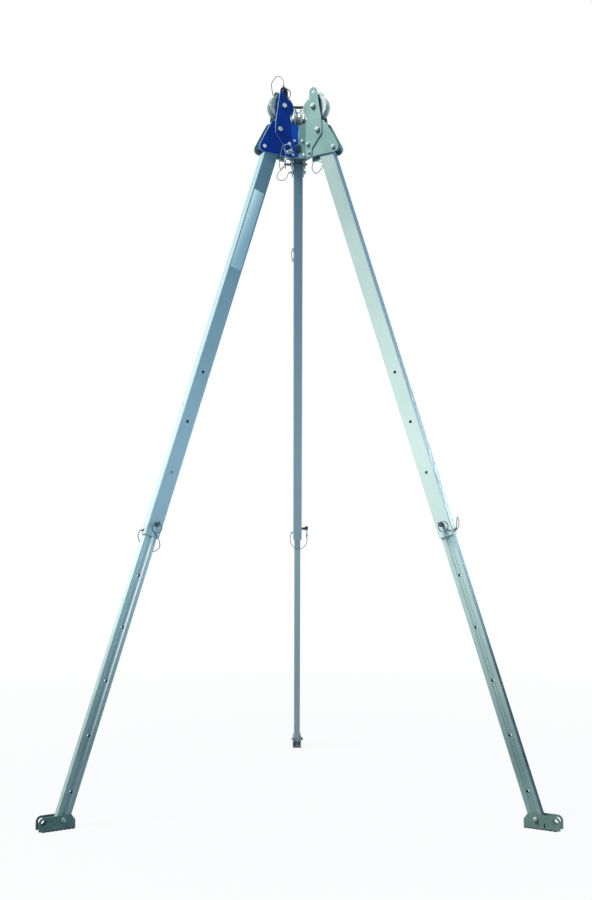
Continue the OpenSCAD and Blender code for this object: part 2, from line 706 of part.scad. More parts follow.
module lower_tube_at(dir) {
  color(col_lower) along_leg(dir) difference() {
    intersection() {
      translate([0, 0, -leg_len - lower_w / 2]) linear_extrude(reach + lower_inside + lower_w / 2) lower_profile();
      // rounded lower end about the foot bolt
      union() {
        translate([0, 0, -leg_len]) bar_y(lower_w / 2, lower_d + 2);
        translate([-lower_w / 2 - 1, -lower_d / 2 - 1, -leg_len])
          cube([lower_w + 2, lower_d + 2, reach + lower_inside + 1]);
      }
    }
    for (k = [-1 : lower_holes]) translate([0, 0, -pin_station - k * lower_pitch])
      bar_y(adjust_hole / 2, lower_d + 2);
    translate([0, 0, -leg_len]) bar_y(foot_bolt_d / 2 + run_gap, lower_d + 2);
  }
}

module left_upper_tube() upper_tube_at(LEFT);
module right_upper_tube() upper_tube_at(RIGHT);
module rear_upper_tube() upper_tube_at(REAR);
module left_sleeve() sleeve_at(LEFT);
module right_sleeve() sleeve_at(RIGHT);
module rear_sleeve() sleeve_at(REAR);
module left_lower_tube() lower_tube_at(LEFT);
module right_lower_tube() lower_tube_at(RIGHT);
module rear_lower_tube() lower_tube_at(REAR);

// Small strap saddle on the side of the rear leg
module rear_saddle() {
  saddle_station = 384;
  saddle_len = 50;
  saddle_w = 14;
  strap = 2;
  rise = 6;
  color(col_dark) along_leg(REAR) translate([0, tube_d / 2, -saddle_station]) {
    translate([-saddle_w / 2, rise, -saddle_len / 2 + 12]) cube([saddle_w, strap, saddle_len - 24]);
    for (s = [-1, 1]) {
      translate([-saddle_w / 2, 0, s * (saddle_len / 2 - 12) - strap / 2]) cube([saddle_w, rise + strap, strap]);
      translate([-saddle_w / 2, 0, s * (saddle_len / 2 - 6) - 7]) cube([saddle_w, strap, 14]);
      translate([0, strap, s * (saddle_len / 2 - 5)]) bar_span(3, 0, 2);
    }
  }
}

// Feet

module foot_plane(dir) {
  leg_plane(dir) translate([foot_r, 0, 0]) children();
}

// Folded channel that straddles the lower tube
module foot_at(dir) {
  slit_x = 26;
  slit_w = 3;
  color(col_lower) foot_plane(dir) difference() {
    union() {
      for (s = [0, 1]) mirror([0, s, 0]) upright(foot_in, foot_t) {
        translate([toe_hole_x, foot_h - toe_round]) circle(toe_round);
        polygon([[-heel_len, sole_t], [toe_len - join, sole_t], [toe_len - join, foot_h - toe_round],
          [toe_hole_x, foot_h - join], [-heel_len + 12, foot_h - join], [-heel_len, foot_h - 16]]);
      }
      translate([-heel_len, -foot_in, sole_t]) cube([heel_len + toe_len - toe_open, 2 * foot_in, foot_t]);
    }
    translate([0, 0, foot_pivot]) bar_y(foot_bolt_d / 2 + run_gap, 2 * foot_out + 2);
    translate([toe_hole_x, 0, foot_h - toe_round]) bar_y(toe_hole / 2, 2 * foot_out + 2);
    for (s = [0, 1]) mirror([0, s, 0]) translate([slit_x - slit_w / 2, foot_in - 1, sole_t + foot_t])
      cube([slit_w, foot_t + 2, 12]);
  }
}

module foot_bolt_at(dir) {
  color(col_steel) foot_plane(dir) translate([0, 0, foot_pivot])
    bolt_and_nut(foot_bolt_d, -foot_out, foot_out);
}

module sole_at(dir) {
  tread = 1.2;
  color(col_black) foot_plane(dir) difference() {
    translate([(toe_len - toe_open - heel_len) / 2, 0, 0]) linear_extrude(sole_t)
      rounded(heel_len + toe_len - toe_open, 2 * foot_out, 3);
    for (k = [-2 : 5]) translate([k * 12, 0, 0]) cube([3, 2 * foot_out + 2, 2 * tread], center = true);
  }
}

module left_foot() foot_at(LEFT);
module right_foot() foot_at(RIGHT);
module rear_foot() foot_at(REAR);
module left_foot_bolt() foot_bolt_at(LEFT);
module right_foot_bolt() foot_bolt_at(RIGHT);
module rear_foot_bolt() foot_bolt_at(REAR);
module left_sole() sole_at(LEFT);
module right_sole() sole_at(RIGHT);
module rear_sole() sole_at(REAR);

left_front_plate();
left_back_plate();
right_front_plate();
right_back_plate();
rear_left_plate();
rear_right_plate();
left_front_cheek();
left_back_cheek();
right_front_cheek();
right_back_cheek();
rear_left_cheek();
rear_right_cheek();
anchor_plates();
anchor_screws();
hinge_bolts();
stop_bolts();
stop_spacers();
cross_bolts();
cross_spacers();
pulley_axles();
rear_guard_bolt();
left_pulley();
right_pulley();
rear_pulley();
left_pulley_bush();
right_pulley_bush();
rear_pulley_bush();
retaining_pin();
retaining_lanyard();
left_head_pin();
right_head_pin();
rear_head_pin();
left_head_lanyard();
right_head_lanyard();
rear_head_lanyard();
left_upper_tube();
right_upper_tube();
rear_upper_tube();
left_sleeve();
right_sleeve();
rear_sleeve();
left_lower_tube();
right_lower_tube();
rear_lower_tube();
left_leg_pin();
right_leg_pin();
rear_leg_pin();
left_leg_lanyard();
right_leg_lanyard();
rear_leg_lanyard();
left_foot();
right_foot();
rear_foot();
left_foot_bolt();
right_foot_bolt();
rear_foot_bolt();
left_sole();
right_sole();
rear_sole();
rear_saddle();
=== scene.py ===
# %% [markdown]
# # Rescue tripod: dressing the solids
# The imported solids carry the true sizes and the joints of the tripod, but they are plain. This lesson sets
# the photo's camera, hangs the wire lanyards, models the small hardware, softens the edges of the large
# pieces and gives everything its finish. No piece changes its size or place, so the joints go on working.

import math

import bpy
from mathutils import Matrix, Vector


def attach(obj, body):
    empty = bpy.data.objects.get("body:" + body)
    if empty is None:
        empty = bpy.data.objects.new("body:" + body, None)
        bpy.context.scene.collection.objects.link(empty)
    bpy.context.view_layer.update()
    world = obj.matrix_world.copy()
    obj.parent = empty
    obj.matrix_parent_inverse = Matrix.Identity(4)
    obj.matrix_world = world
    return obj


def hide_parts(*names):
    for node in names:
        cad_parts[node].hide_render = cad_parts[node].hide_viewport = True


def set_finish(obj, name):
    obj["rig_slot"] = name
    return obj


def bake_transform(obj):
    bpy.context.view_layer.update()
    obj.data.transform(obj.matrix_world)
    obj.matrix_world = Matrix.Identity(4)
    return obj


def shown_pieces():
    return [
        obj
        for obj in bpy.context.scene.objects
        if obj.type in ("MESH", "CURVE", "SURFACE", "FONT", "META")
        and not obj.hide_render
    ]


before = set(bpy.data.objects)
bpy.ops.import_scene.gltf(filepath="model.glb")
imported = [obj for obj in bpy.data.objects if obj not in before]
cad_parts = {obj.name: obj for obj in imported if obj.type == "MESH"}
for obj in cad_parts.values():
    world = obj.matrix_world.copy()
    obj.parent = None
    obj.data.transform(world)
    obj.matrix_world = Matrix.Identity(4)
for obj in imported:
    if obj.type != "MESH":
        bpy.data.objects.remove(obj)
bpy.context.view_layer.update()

# %% [markdown]
# The photo was taken from a little below half the height of the tripod, looking slightly up. A camera could
# be placed by eye, but the legs carry rows of pin holes that are easy to find in the picture. So its place,
# aim and lens were fitted to where these holes, the feet and the head appear.

# %% Camera
YAW, PITCH = math.radians(0.363), math.radians(5.362)
CAMERA_AT, LENS = (-0.03032, -3.647776, 0.82786), 40.21
aim = Vector((math.sin(YAW) * math.cos(PITCH), math.cos(YAW) * math.cos(PITCH), math.sin(PITCH)))
bpy.ops.object.camera_add(location=CAMERA_AT, rotation=aim.to_track_quat("-Z", "Y").to_euler())
camera = bpy.context.active_object
camera.data.sensor_fit = "VERTICAL"
camera.data.sensor_height = 36
camera.data.lens = LENS
bpy.context.scene.camera = camera
bpy.context.scene.view_settings.view_transform = "Standard"
print("camera looks along", [round(c, 3) for c in aim])

# %% [markdown]
# The three legs are alike and stand 120 degrees apart. Every piece could be placed by its own long numbers,
# but it is easier to model it in a frame of reference and to let the frame put it on each leg. There are
# two main ones, both in millimetres. In the head's frame X runs out from the middle, Y sideways and Z up
# from the hinge bolt. In the leg's frame Z runs up the tube from the same bolt.

# %% Frames of reference
MM = Matrix.Scale(0.001, 4)
LEGS = {"left": 210, "right": 330, "rear": 90}
LEAN = math.radians(17.75)
HINGE_R, HINGE_Z, AXIS_Y = 90, 2261.916, -211.876
PIN_STATION, FOOT_R, FOOT_PIVOT = 1441, 804.602, 29.5
TUBE_D = 34
PLATE_IN, PLATE_OUT = 22, 26


def around(degrees, z=HINGE_Z):
    """The upright axis of the tripod at a height, turned to one side."""
    return MM @ Matrix.Translation((0, AXIS_Y, z)) @ Matrix.Rotation(math.radians(degrees), 4, "Z")


def head_frame(leg):
    return around(LEGS[leg])


def leg_frame(leg):
    return head_frame(leg) @ Matrix.Translation((HINGE_R, 0, 0)) @ Matrix.Rotation(-LEAN, 4, "Y")


def pin_frame(leg):
    return leg_frame(leg) @ Matrix.Translation((0, 0, -PIN_STATION))


def foot_frame(leg):
    return around(LEGS[leg], FOOT_PIVOT) @ Matrix.Translation((FOOT_R, 0, 0))


print("hinge bolts at", [[round(c, 3) for c in leg_frame(leg).translation] for leg in LEGS])

# %% [markdown]
# Some moves come back with almost every piece, so they are written once. Most hardware of a tripod is
# turned on a lathe. A curve could be spun for that, but a disc that is extruded and scaled step by step
# keeps the numbers of the drawing: a radius and a height for each step.

# %% Helpers that make a shape


def pick(*objs):
    """Selects these objects alone. The first one is active."""
    bpy.ops.object.select_all(action="DESELECT")
    for obj in objs:
        obj.select_set(True)
    bpy.context.view_layer.objects.active = objs[0]


def turned(steps, sides=48):
    """A turned solid on the Z axis, from (radius, height) steps."""
    bpy.ops.object.select_all(action="DESELECT")
    r, z = steps[0]
    bpy.ops.mesh.primitive_circle_add(vertices=sides, radius=r, fill_type="NGON", location=(0, 0, z))
    obj = bpy.context.active_object
    bpy.ops.object.transform_apply(location=True)
    bpy.ops.object.mode_set(mode="EDIT")
    for next_r, next_z in steps[1:]:
        bpy.ops.mesh.extrude_region_move(TRANSFORM_OT_translate={"value": (0, 0, next_z - z)})
        bpy.ops.transform.resize(value=(next_r / r, next_r / r, 1), center_override=(0, 0, next_z))
        r, z = next_r, next_z
    bpy.ops.mesh.select_all(action="SELECT")
    bpy.ops.mesh.normals_make_consistent(inside=False)
    bpy.ops.object.mode_set(mode="OBJECT")
    return obj


def block(low, high):
    """A block between two corners."""
    bpy.ops.object.select_all(action="DESELECT")
    bpy.ops.mesh.primitive_cube_add(size=1, location=[(a + b) / 2 for a, b in zip(low, high)])
    obj = bpy.context.active_object
    obj.scale = [b - a for a, b in zip(low, high)]
    bpy.ops.object.transform_apply(location=True, rotation=True, scale=True)
    return obj


def ring(radius, thick, sides=64, around_wire=16):
    """A wire ring about the Z axis."""
    bpy.ops.object.select_all(action="DESELECT")
    bpy.ops.mesh.primitive_torus_add(
        major_radius=radius, minor_radius=thick, major_segments=sides, minor_segments=around_wire)
    return bpy.context.active_object


# %% Helpers that place and finish a shape
TO_Y = Matrix.Rotation(math.radians(-90), 4, "X")


def facing(direction, at=(0, 0, 0)):
    """Turns the Z axis towards a direction, and moves to a point."""
    return Matrix.Translation(at) @ Vector(direction).to_track_quat("Z", "Y").to_matrix().to_4x4()


def move(obj, matrix):
    """Moves a shape for good: its place goes into its mesh."""
    pick(obj)
    obj.matrix_world = matrix @ obj.matrix_world
    bpy.ops.object.transform_apply(location=True, rotation=True, scale=True)
    return obj


def twin(obj):
    """A copy with a mesh of its own."""
    pick(obj)
    bpy.ops.object.duplicate(linked=False)
    return bpy.context.active_object


def discard(*objs):
    """Deletes models that have served their turn."""
    pick(*objs)
    bpy.ops.object.delete()


def joined(name, objs):
    """One object of this name, from all of these."""
    pick(*objs)
    if len(objs) > 1:
        bpy.ops.object.join()
    obj = bpy.context.active_object
    obj.name = obj.data.name = name
    return obj


def bevel(obj, width, segments=2, angle=35, material=-1):
    """Rounds the edges that are sharper than an angle. The new faces may take another material."""
    pick(obj)
    bpy.ops.object.modifier_add(type="BEVEL")
    modifier = obj.modifiers[-1]
    modifier.width, modifier.segments, modifier.material = width, segments, material
    modifier.limit_method, modifier.angle_limit = "ANGLE", math.radians(angle)
    bpy.ops.object.modifier_apply(modifier=modifier.name)
    return obj


def smooth(obj, angle=40):
    """Smooth shading, with edges sharper than an angle kept."""
    pick(obj)
    bpy.ops.object.shade_smooth_by_angle(angle=math.radians(angle))
    return obj


def even_normals(obj):
    """Lets the large faces set the shading, so that they stay flat beside their bevels."""
    pick(obj)
    bpy.ops.object.modifier_add(type="WEIGHTED_NORMAL")
    modifier = obj.modifiers[-1]
    modifier.weight, modifier.keep_sharp = 100, True
    bpy.ops.object.modifier_apply(modifier=modifier.name)
    return obj


# %% [markdown]
# Seven wire lanyards keep the pins from being lost. Each runs from a crimped sleeve at the pin's ring or
# tab through a loop to a second sleeve on the head or the tube. Such a stiff wire stands in a loop by
# itself, so it isn't simulated. Its route is drawn, with the same points as in the solids.

# %% Sizes of the pins and their wires
WIRE_D, FERRULE_R, FERRULE_LEN, SLEEVE_GAP = 2.4, 2.4, 9, 0.2
RING_R, RING_D, EYE_BACK = 16, 2.6, 5
TAB_T, TAB_H, TAB_FRONT, TAB_BACK = 5, 9, 5.5, 9.5
HEAD_PIN_X, HEAD_PIN_Z, HEAD_HANDLE = 58, -77, 24
LEG_PIN_OUT, LEG_HANDLE = 29, 13
EAR_X, EAR_Z, EAR_HANDLE = 73, 141, 13
LEG_SIDE = {"left": 1, "right": -1, "rear": -1}


def unit(*direction):
    return Vector(direction).normalized()


HEAD_HANG, HEAD_OFF = unit(0.92, 0, 0.39), unit(0.6, 0.1, -0.8)
EAR_UP = unit(0.45, 0, 0.89)
LEG_HANG = {"left": unit(0, 0, -1), "right": unit(0.6, 0, -0.8), "rear": unit(0, 0, -1)}
LEG_OFF = {"left": unit(-0.7, 0, -0.7), "right": unit(0.8, 0.1, -0.6), "rear": unit(0, 0, -1)}


def far_side(tab, hang, off):
    """Where a sleeve starts at the far side of a ring that hangs from a pin's tab."""
    lift = SLEEVE_GAP + FERRULE_R * hang.cross(off).length
    return Vector(tab) + (2 * RING_R - EYE_BACK + RING_D / 2 + lift) * hang


def leg_start(leg):
    tab = (0, LEG_SIDE[leg] * (LEG_PIN_OUT + LEG_HANDLE - TAB_H / 2), 0)
    return far_side(tab, LEG_HANG[leg], LEG_OFF[leg])


HEAD_START = far_side((HEAD_PIN_X, PLATE_OUT + HEAD_HANDLE - TAB_H / 2, HEAD_PIN_Z), HEAD_HANG, HEAD_OFF)
EAR_TAB = Vector((EAR_X, PLATE_OUT + EAR_HANDLE - TAB_H / 2, EAR_Z))
EAR_START = EAR_TAB + (TAB_BACK + SLEEVE_GAP) * EAR_UP
print("head lanyards start at", [round(c, 1) for c in HEAD_START], "mm")

# %% Lanyard routes: start, way off, points, end, way in
ROUTES = {
    "left_head": (HEAD_START, HEAD_OFF,
                  [(98, 48, -98), (104, 48, -130), (98, 46, -152), (86, 44, -138), (74, 42, -112),
                   (56, 40, -106)],
                  (39.58, 31.554, -89.3), unit(0.5, 0.35, -1)),
    "right_head": (HEAD_START, HEAD_OFF,
                   [(76, 48, -94), (64, 48, -114), (50, 46, -126), (38, 45, -120), (31, 43, -104),
                    (37, 41, -86)],
                   (39.58, 31.554, -67.3), unit(0, 0.35, -1)),
    "rear_head": (HEAD_START, HEAD_OFF,
                  [(92, 60, -82), (96, 74, -98), (106, 76, -112), (118, 62, -114), (132, 46, -104)],
                  (149.063, 27.16, -72), unit(-0.2, 1, -0.4)),
    "retaining": (EAR_START, EAR_UP,
                  [(79, 30, 176), (84, 20, 192), (91, 8, 198), (97, -6, 190), (97, -22, 174)],
                  (77, -26.2, 127), unit(0.4, -1, 0.4)),
    "left_leg": (leg_start("left"), LEG_OFF["left"],
                 [(-18, 38, -46), (-33, 22, -62), (-30, -4, -78), (-6, -24, -76), (18, -25, -60),
                  (33, -15, -44)],
                 (26.2, 0, -26), unit(1, -0.3, -0.4)),
    "right_leg": (leg_start("right"), LEG_OFF["right"],
                  [(36, -34, -34), (48, -22, -24), (52, -10, -4), (47, -2, 8)],
                  (26.2, 0, -26), unit(1, 0, 0.6)),
    "rear_leg": (leg_start("rear"), LEG_OFF["rear"],
                 [(-8, -38, -46), (-22, -30, -64), (-32, -8, -74), (-29, 14, -66), (-13, 28, -48)],
                 (0, 17.2, -15), unit(-0.1, 1, -0.5)),
}


def lanyard_frame(name):
    if name.endswith("_leg"):
        return pin_frame(name[:-4])
    return head_frame("left" if name == "retaining" else name[:-5])


print(len(ROUTES), "lanyard routes")

# %% [markdown]
# A real wire is laid up from six strands that wind round each other. Six thin tubes would cost many faces,
# so one lobed outline is swept along the route and turned as it goes. Its mean thickness is that of the
# wire.

# %% Wire
LOBE_DEPTH, STRANDS, LAY = 0.16, 6, 0.016
CURVE_STEPS, WIRE_STEP = 16, 0.0016


def through(points, steps):
    """A smooth line through the points."""
    line = []
    for i in range(len(points) - 1):
        a, b = points[max(i - 1, 0)], points[i]
        c, d = points[i + 1], points[min(i + 2, len(points) - 1)]
        for k in range(steps):
            t = k / steps
            line.append(0.5 * (2 * b + (c - a) * t + (2 * a - 5 * b + 4 * c - d) * t * t
                               + (3 * b - a - 3 * c + d) * t ** 3))
    return line + [points[-1]]


def even(points, gap):
    """The same line with points an even gap apart."""
    at = [0.0]
    for p, q in zip(points, points[1:]):
        at.append(at[-1] + (q - p).length)
    count = max(2, round(at[-1] / gap))
    line, i = [], 0
    for k in range(count + 1):
        s = at[-1] * k / count
        while i < len(at) - 2 and at[i + 1] < s:
            i += 1
        line.append(points[i].lerp(points[i + 1], (s - at[i]) / (at[i + 1] - at[i])))
    return line


def stranded(name, points, diameter):
    """A wire rope of a mean diameter along the points."""
    n = 4 * STRANDS
    radius = diameter / 2 / (1 - LOBE_DEPTH / 2)
    verts, faces = [], []
    tangent = (points[1] - points[0]).normalized()
    side = tangent.orthogonal().normalized()
    run = 0.0
    for i, point in enumerate(points):
        ahead, behind = points[min(i + 1, len(points) - 1)], points[max(i - 1, 0)]
        new_tangent = (ahead - behind).normalized()
        side = (tangent.rotation_difference(new_tangent) @ side).normalized()
        tangent = new_tangent
        other = tangent.cross(side)
        run += (point - behind).length
        for k in range(n):
            angle = 2 * math.pi * (k / n + run / LAY)
            lobe = 1 - LOBE_DEPTH * (0.5 - 0.5 * math.cos(STRANDS * 2 * math.pi * k / n))
            verts.append(point + radius * lobe * (math.cos(angle) * side + math.sin(angle) * other))
    for i in range(len(points) - 1):
        for k in range(n):
            j = (k + 1) % n
            faces.append((i * n + k, i * n + j, (i + 1) * n + j, (i + 1) * n + k))
    faces.append(tuple(reversed(range(n))))
    faces.append(tuple((len(points) - 1) * n + k for k in range(n)))
    mesh = bpy.data.meshes.new(name)
    mesh.from_pydata(verts, [], faces)
    obj = bpy.data.objects.new(name, mesh)
    bpy.context.collection.objects.link(obj)
    return smooth(obj, 60)


# %% [markdown]
# When a pin is pulled, one end of its wire goes with it and the other stays, so the sleeve at the pin
# moves with the pin and the other with the head or the tube. A wire on a leg wraps round the tube and
# stays clear of the tube's faces.

# %% Lanyards
LANYARDS = {}
for name, (start, off, route, end, into) in ROUTES.items():
    place = lanyard_frame(name)
    end = Vector(end)
    loop = [start + FERRULE_LEN * off] + [Vector(p) for p in route] + [end + FERRULE_LEN * into]
    line = [start + off] + through(loop, CURVE_STEPS) + [end + into]
    path = even([place @ p for p in line], WIRE_STEP)
    wire = stranded(name + "_wire", path, WIRE_D / 1000)
    pin = "retaining_pin" if name == "retaining" else name + "_pin"
    base = name if name.endswith("_leg") else "head"
    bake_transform(wire)
    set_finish(wire, "wire")
    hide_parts(name + "_lanyard")
    LANYARDS[name] = (place, start, off, end, into, pin, base)

# %% [markdown]
# Each end of a wire has a sleeve, pinched twice by the crimping tool. The first moves with the pin, and a
# small wire eye ties it to the pin's ring. The second is held by a screw, a bolt or a rivet. Sleeve, eye
# and rivet are modelled once and copied to the ends that have them.

# %% Lanyard ends
r, h, pinched = FERRULE_R, FERRULE_LEN, FERRULE_R - 0.35
SLEEVE = turned([(r - 0.5, 0), (r - 0.1, 0.4), (r, 1.2), (r, 2.0), (pinched, 2.5), (pinched, 3.5), (r, 4.0),
                 (r, 5.0), (pinched, 5.5), (pinched, 6.5), (r, 7.0), (r, h - 1.2), (r - 0.1, h - 0.4),
                 (r - 0.5, h)], 32)
EYE = ring(2.6, 1.1, 32, 12)
RIVET = turned([(5, 0), (5, 0.8), (4.6, 1.6), (3.6, 2.4), (2.0, 2.9), (0.6, 3.0)], 32)
RIVETS = {"retaining": (0, -1, 0), "left_leg": (1, 0, 0), "right_leg": (1, 0, 0), "rear_leg": (0, 1, 0)}
for name, (place, start, off, end, into, pin, base) in LANYARDS.items():
    pieces = [move(twin(SLEEVE), facing(off, start))]
    if name != "retaining":
        hang = LEG_HANG[name[:-4]] if name.endswith("_leg") else HEAD_HANG
        lift = SLEEVE_GAP + FERRULE_R * hang.cross(off).length + RING_D / 2
        tangent = hang.cross(Vector((0, 1, 0)))
        pieces.append(move(twin(EYE), facing(tangent, start - lift * hang)))
    pin_end = smooth(move(joined(name + "_pin_sleeve", pieces), place))
    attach(pin_end, pin)
    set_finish(pin_end, "wire")
    pieces = [move(twin(SLEEVE), facing(into, end))]
    if name in RIVETS:
        out = Vector(RIVETS[name])
        pieces.append(move(twin(RIVET), facing(out, end - SLEEVE_GAP * out)))
    base_end = smooth(move(joined(name + "_base_sleeve", pieces), place))
    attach(base_end, base)
    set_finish(base_end, "wire")
discard(SLEEVE, EYE, RIVET)
print("sleeves at", 2 * len(LANYARDS), "lanyard ends")

# %% [markdown]
# A quick-release pin has a turned shaft with a groove near its tip, a round collar and a flat tab to pull
# at. A split ring of two coils hangs in the tab's eye. There are three kinds of pin. Each kind is modelled
# once along Y, with the eye drilled by a boolean, much as in the workshop, and copied to its places. There
# the tab and the ring turn to hang their own way.

# %% Quick-release pins
COLLAR_R, NECK_R = 8, 5


def quick_pin(r, length, handle):
    """Shaft with collar, tab and ring. The ring hangs towards X."""
    tip, groove = -length, r - 0.5
    shaft = turned([(r / 2, tip), (r, tip + r / 2), (r, tip + 4.5), (groove, tip + 5), (groove, tip + 6.2),
                    (r, tip + 6.7), (r, 0)])
    c, waist = COLLAR_R, COLLAR_R - 0.4
    collar = turned([(c - 1, 0), (c, 0.6), (c, 1.6), (waist, 1.9), (waist, 2.3), (c, 2.6), (c, 3.4),
                     (c - 0.7, 4), (NECK_R + 0.4, 4), (NECK_R, 4.5), (NECK_R, handle - TAB_H + 1)])
    body = move(joined("pin", [shaft, collar]), TO_Y)
    tab = block((-TAB_BACK, handle - TAB_H, -TAB_T / 2), (TAB_FRONT, handle, TAB_T / 2))
    bevel(tab, 1.2, 3)
    middle, eye_r = handle - TAB_H / 2, RING_D / 2 + 0.7
    drill = move(turned([(eye_r, -TAB_T), (eye_r, TAB_T)]), Matrix.Translation((-EYE_BACK, middle, 0)))
    pick(tab)
    bpy.ops.object.modifier_add(type="BOOLEAN")
    modifier = tab.modifiers[-1]
    modifier.operation, modifier.solver, modifier.object = "DIFFERENCE", "EXACT", drill
    bpy.ops.object.modifier_apply(modifier=modifier.name)
    discard(drill)
    coils = []
    for s in (-1, 1):
        coil = move(ring(RING_R, RING_D / 2, 72, 12), TO_Y @ Matrix.Diagonal((1, 1, 0.5, 1)))
        coils.append(move(coil, Matrix.Translation((RING_R - EYE_BACK, middle + s * RING_D / 4, 0))))
    return body, tab, joined("ring", coils)


def place_pin(name, model, seat, hang, slot):
    """A copy of a pin on its seat, with its tab and ring turned to hang in a direction."""
    turn = Matrix.Rotation(-math.atan2(hang.z, hang.x), 4, "Y")
    body, tab, coils = [twin(obj) for obj in model]
    body = joined("pin", [body, move(tab, turn)])
    for part, obj in (("body", body), ("ring", move(coils, turn))):
        obj = smooth(move(joined(f"{name}_{part}", [obj]), seat))
        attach(obj, name)
        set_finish(obj, slot)
        if part == "body":
            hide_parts(name)


ACROSS = 2 * PLATE_OUT + 6
HEAD_PIN = quick_pin(4.5, ACROSS, HEAD_HANDLE)
LEG_PIN = quick_pin(4.95, 19, LEG_HANDLE)
EAR_PIN = quick_pin(5, ACROSS, EAR_HANDLE)
for leg in LEGS:
    seat = head_frame(leg) @ Matrix.Translation((HEAD_PIN_X, PLATE_OUT, HEAD_PIN_Z))
    place_pin(leg + "_head_pin", HEAD_PIN, seat, HEAD_HANG, "pin_steel")
    turn = Matrix.Rotation(0 if LEG_SIDE[leg] > 0 else math.pi, 4, "Z")
    seat = pin_frame(leg) @ turn @ Matrix.Translation((0, LEG_PIN_OUT, 0))
    place_pin(leg + "_leg_pin", LEG_PIN, seat, turn @ LEG_HANG[leg], "pin_steel")
seat = head_frame("left") @ Matrix.Translation((EAR_X, PLATE_OUT, EAR_Z))
place_pin("retaining_pin", EAR_PIN, seat, -EAR_UP, "dark_steel")
discard(*HEAD_PIN, *LEG_PIN, *EAR_PIN)
print("7 pins, each with a split ring")

# %% [markdown]
# The head is held together by hexagon bolts with lock nuts, which show a round collar above the hexagon. A
# hexagon is just a turned shape with six sides, so the lathe makes it too, and all sizes follow from the
# bolt's diameter.

# %% Bolts and nuts
STOP_BOLT, CROSS_BOLT, PULLEY_AXLE = (149.063, -72), (53, -46), (73, 88)
FOOT_HALF = 16.8


def hex_bolt(d, half):
    """A bolt along Y, with its head and its nut half its grip away from the middle."""
    r, high, nut, bore = 0.9 * d, 0.62 * d, 0.8 * d, d / 2
    head = turned([(r, 0), (r, high - 0.08 * d), (r - 0.1 * d, high), (r - 0.22 * d, high),
                   (r - 0.26 * d, high - 0.4)], 6)
    washer = turned([(0.78 * d, 0), (0.78 * d, 0.4)])
    hexagon = turned([(r - 0.1 * d, 0), (r, 0.08 * d), (r, 0.62 * nut), (r - 0.12 * d, 0.7 * nut)], 6)
    collar = turned([(0.74 * d, 0.6 * nut), (0.74 * d, 0.9 * nut), (0.66 * d, nut), (bore + 0.3, nut)])
    thread_end = turned([(bore, 0), (bore, nut + 1.2), (bore - 0.9, nut + 2)])
    shank = turned([(bore, -half), (bore, half)])
    up = Matrix.Translation((0, half, 0)) @ TO_Y
    down = Matrix.Translation((0, -half, 0)) @ TO_Y.inverted()
    places = ((head, up), (washer, up), (hexagon, down), (collar, down), (thread_end, down), (shank, TO_Y))
    return joined("bolt", [move(obj, place) for obj, place in places])


def bolt_set(node, body, slot, d, half, places):
    """One bolt, copied to its places, in the stead of a node."""
    model = hex_bolt(d, half)
    made = [move(twin(model), place) for place in places]
    discard(model)
    obj = smooth(joined(node + "_dressed", made), 30)
    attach(obj, body)
    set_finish(obj, slot)
    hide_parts(node)


def at_head(out, up, legs=LEGS):
    return [head_frame(leg) @ Matrix.Translation((out, 0, up)) for leg in legs]


bolt_set("hinge_bolts", "head", "bolt_steel", 10, PLATE_OUT, at_head(HINGE_R, 0))
bolt_set("stop_bolts", "head", "bolt_steel", 8, PLATE_IN, at_head(*STOP_BOLT))
bolt_set("cross_bolts", "head", "bolt_steel", 8, PLATE_OUT, at_head(*CROSS_BOLT))
bolt_set("pulley_axles", "head", "bolt_steel", 10, PLATE_OUT, at_head(*PULLEY_AXLE))
bolt_set("rear_guard_bolt", "head", "dark_steel", 10, PLATE_OUT, at_head(EAR_X, EAR_Z, ["rear"]))
for leg in LEGS:
    bolt_set(leg + "_foot_bolt", leg + "_lower_leg", "bolt_steel", 8, FOOT_HALF, [foot_frame(leg)])
print("16 bolts with nuts")

# %% [markdown]
# Each panel of the head carries four screws with low rounded heads and a socket. The front panel reaches
# lower than the two others, and so does its lower pair of screws.

# %% Panel screws
PANEL_OUT = 44.517
SCREW = turned([(3, -12), (3, 0), (5.1, 0), (5.1, 1.2), (4.8, 2.4), (4.0, 3.4), (2.9, 4),
                (2.0, 4), (1.9, 2.2)])
screws = []
for side in (0, 120, 240):
    panel = around(side) @ Matrix.Translation((0, -PANEL_OUT, 0))
    low_pair = -62 if side else -84
    for s in (-1, 1):
        for x, z in ((18.5, low_pair), (13, -33)):
            screws.append(move(twin(SCREW), panel @ Matrix.Translation((s * x, 0, z)) @ TO_Y.inverted()))
discard(SCREW)
screw_count = len(screws)
screws = smooth(joined("anchor_screws_dressed", screws), 30)
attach(screws, "head")
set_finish(screws, "bolt_steel")
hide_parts("anchor_screws")
print(screw_count, "screws")

# %% [markdown]
# Cut plate and drawn tube never have knife edges, and it is the thin bright line along an edge that makes a
# plate look like metal. The plates, tubes, feet and pulleys could be modelled anew, but their solids are
# already right. So each is copied, its triangles are merged to whole faces, and a small bevel with a
# material of its own runs along every edge.

# %% Softened solids


